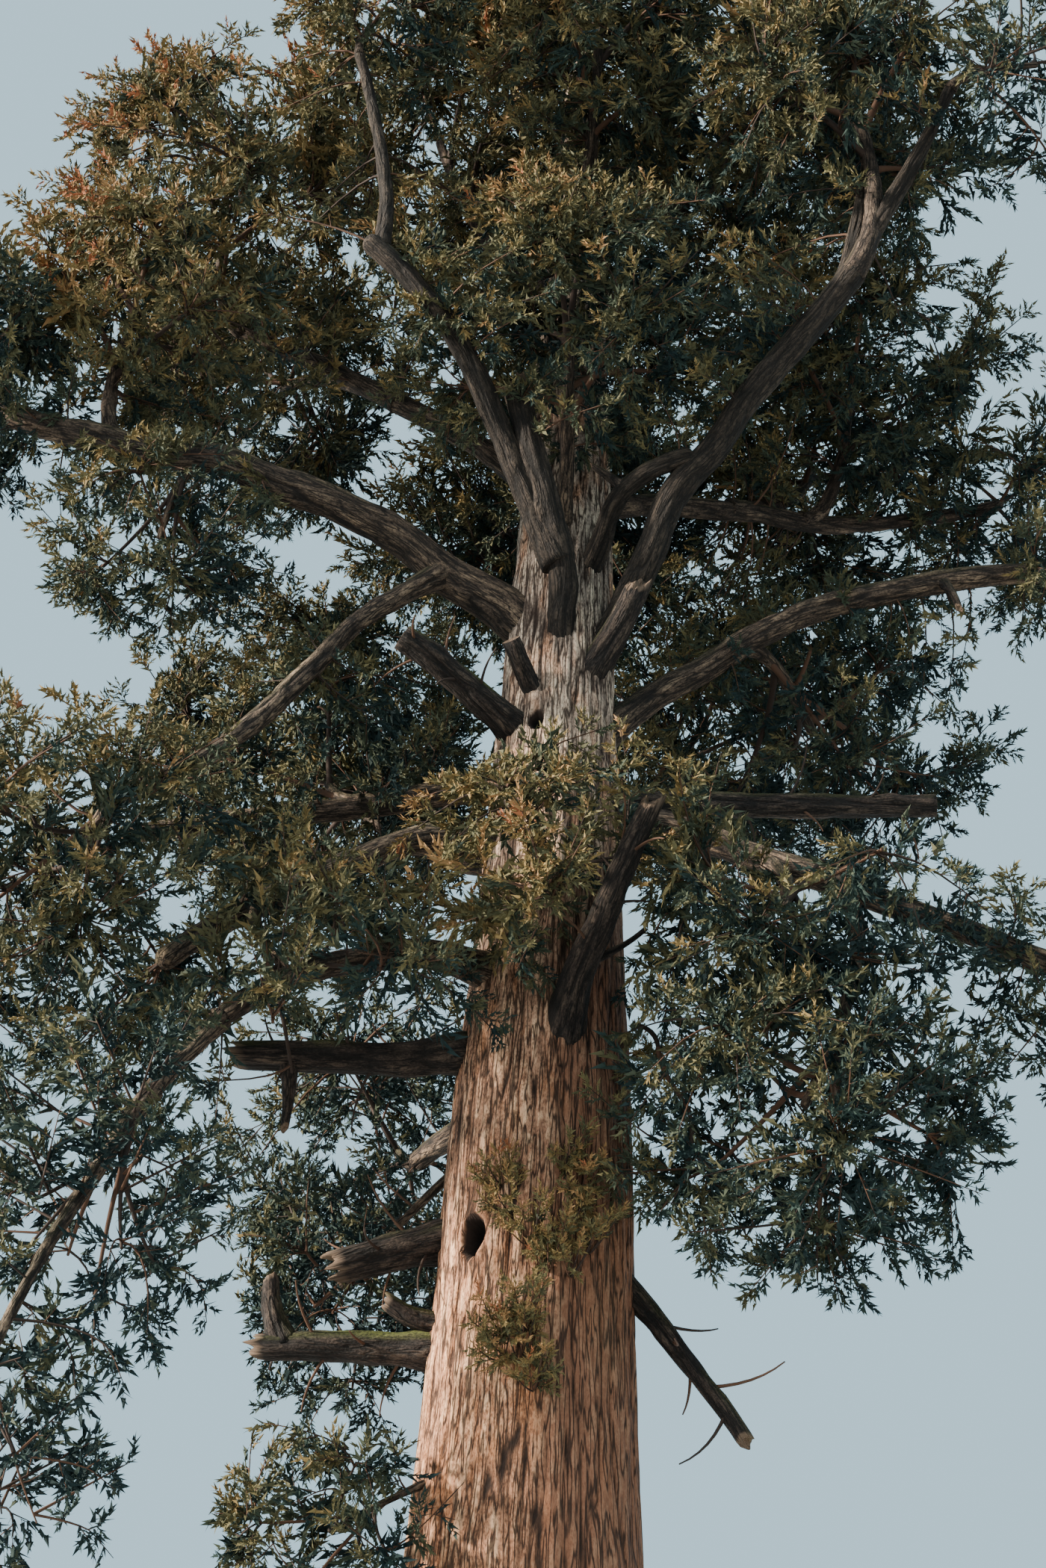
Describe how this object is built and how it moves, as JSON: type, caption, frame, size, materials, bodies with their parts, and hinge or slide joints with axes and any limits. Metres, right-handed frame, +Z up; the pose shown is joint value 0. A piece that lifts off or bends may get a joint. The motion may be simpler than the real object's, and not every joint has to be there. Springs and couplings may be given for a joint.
{
  "type": "giant sequoia tree",
  "caption": "Mature giant sequoia: tall tapering trunk with a flared foot, heavy upswept boughs, dead snags and a deep crown of drooping feathery foliage.",
  "frame": {"origin": "centre of the flat cut under the trunk, at ground level", "axes": "+Z up the tree, +X to the right of the picture's view, +Y away from its camera"},
  "size_m": [19.5106, 13.6265, 37.8651],
  "materials": {
    "trunk_bark": "deeply furrowed fibrous red-brown bark, matte",
    "limb_bark": "ridged grey-brown bark, matte",
    "dead_wood": "weathered dark wood with moss, matte",
    "foliage": "olive green scale-leaf sprays with ochre and rust tips, matte"
  },
  "bodies": {
    "root": {"trunk": "trunk_bark", "left_main_bough": "limb_bark", "left_fork_bough": "limb_bark", "left_high_bough": "limb_bark", "front_upright_bough": "limb_bark", "upper_left_bough": "limb_bark", "upper_left_leader": "limb_bark", "right_main_bough": "limb_bark", "right_leader": "limb_bark", "right_mid_bough": "limb_bark", "right_high_bough": "limb_bark", "right_low_bough": "limb_bark", "left_back_bough": "limb_bark", "left_low_bough": "limb_bark", "left_arching_bough": "limb_bark", "left_weeping_bough": "limb_bark", "back_high_bough": "limb_bark", "back_mid_bough": "limb_bark", "back_low_bough": "limb_bark", "dead_right_limb": "dead_wood", "dead_centre_limb": "dead_wood", "front_snag": "dead_wood", "dead_left_limb": "dead_wood", "broken_stub": "dead_wood", "mossy_stub": "dead_wood", "drooping_dead_limb": "dead_wood", "foliage_top": "foliage", "foliage_upper_left": "foliage", "foliage_upper_front": "foliage", "foliage_upper_right": "foliage", "foliage_upper_back": "foliage", "foliage_leader_left": "foliage", "foliage_left_dome": "foliage", "foliage_left_shoulder": "foliage", "foliage_left_tip": "foliage", "foliage_left_under": "foliage", "foliage_heart_front": "foliage", "foliage_right_upper": "foliage", "foliage_right_far_top": "foliage", "foliage_right_shoulder": "foliage", "foliage_right_far": "foliage", "foliage_right_mid_tip": "foliage", "foliage_right_middle": "foliage", "foliage_right_low": "foliage", "foliage_right_droop": "foliage", "foliage_right_low_tip": "foliage", "foliage_front": "foliage", "foliage_left_middle": "foliage", "foliage_left_outer": "foliage", "foliage_left_lower": "foliage", "foliage_weeping": "foliage", "foliage_weeping_tip": "foliage", "foliage_left_hanging": "foliage", "foliage_base": "foliage", "foliage_back_high": "foliage", "foliage_back_mid": "foliage", "foliage_back_low": "foliage", "foliage_back_left": "foliage", "foliage_back_right": "foliage", "foliage_back_left_low": "foliage"}
  },
  "joints": []
}
